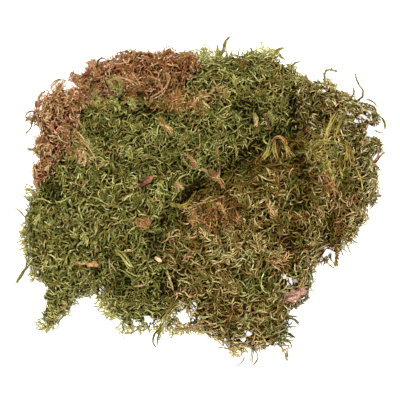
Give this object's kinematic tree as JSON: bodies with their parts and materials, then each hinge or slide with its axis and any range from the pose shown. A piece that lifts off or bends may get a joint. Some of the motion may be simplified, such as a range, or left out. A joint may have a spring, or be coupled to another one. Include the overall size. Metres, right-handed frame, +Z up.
{
  "type": "preserved sheet moss clump",
  "caption": "Flat clump of dried sheet moss: a green carpet, a curly olive sheet lying over part of it, dead brown tufts at the rim, and leaf scraps, twigs and straws caught on top.",
  "frame": {"origin": "on the flat underside of the green carpet, below the middle of the clump", "axes": "+Z up off the surface that the clump lies on, through its least thickness; +X across the clump's longest extent, from the brown left tuft towards the dark green right tuft; +Y towards the top brown tuft"},
  "size_m": [0.219, 0.1814, 0.0354],
  "materials": {
    "green_moss": "dry leafy shoots, matte with a faint sheen, green with yellow-green tips and dark gaps",
    "dark_green_moss": "dry leafy shoots, matte, dark green",
    "olive_moss": "dry curly shoots, matte, olive to yellow-brown",
    "dead_brown_moss": "dead fine shoots, matte, brown to tan",
    "rust_moss": "dead shoots, matte, rust to orange-brown",
    "yellow_moss": "dry long shoots, matte, yellow-green to ochre",
    "tan_leaf": "dry papery leaf, matte, tan",
    "orange_leaf": "dry papery leaf, matte, pale orange",
    "red_leaf": "dry leaf, satin, purple-red",
    "pink_brown_leaf": "dry crumpled leaf, matte, pinkish brown",
    "pale_wood": "bare split wood, matte, cream",
    "straw": "dry grass straw, satin, pale yellow",
    "ochre_stem": "dry stem, satin, ochre"
  },
  "bodies": {
    "root": {"green_carpet": "green_moss", "right_green_tuft": "dark_green_moss", "olive_sheet": "olive_moss", "top_brown_tuft": "dead_brown_moss", "left_brown_tuft": "dead_brown_moss", "rust_tuft": "rust_moss", "orange_frond": "rust_moss", "yellow_frond": "yellow_moss", "tan_frond": "tan_leaf", "red_leaf": "red_leaf", "orange_scrap_upper": "orange_leaf", "orange_scrap_lower": "orange_leaf", "forked_sprig": "orange_leaf", "pale_leaf_curl": "tan_leaf", "crumpled_leaf": "pink_brown_leaf", "pale_chip": "pale_wood", "yellow_sprig": "yellow_moss", "bent_stem": "ochre_stem", "pale_twig": "pale_wood", "pale_straw": "straw", "short_straw": "straw", "red_twig": "red_leaf"}
  },
  "joints": []
}
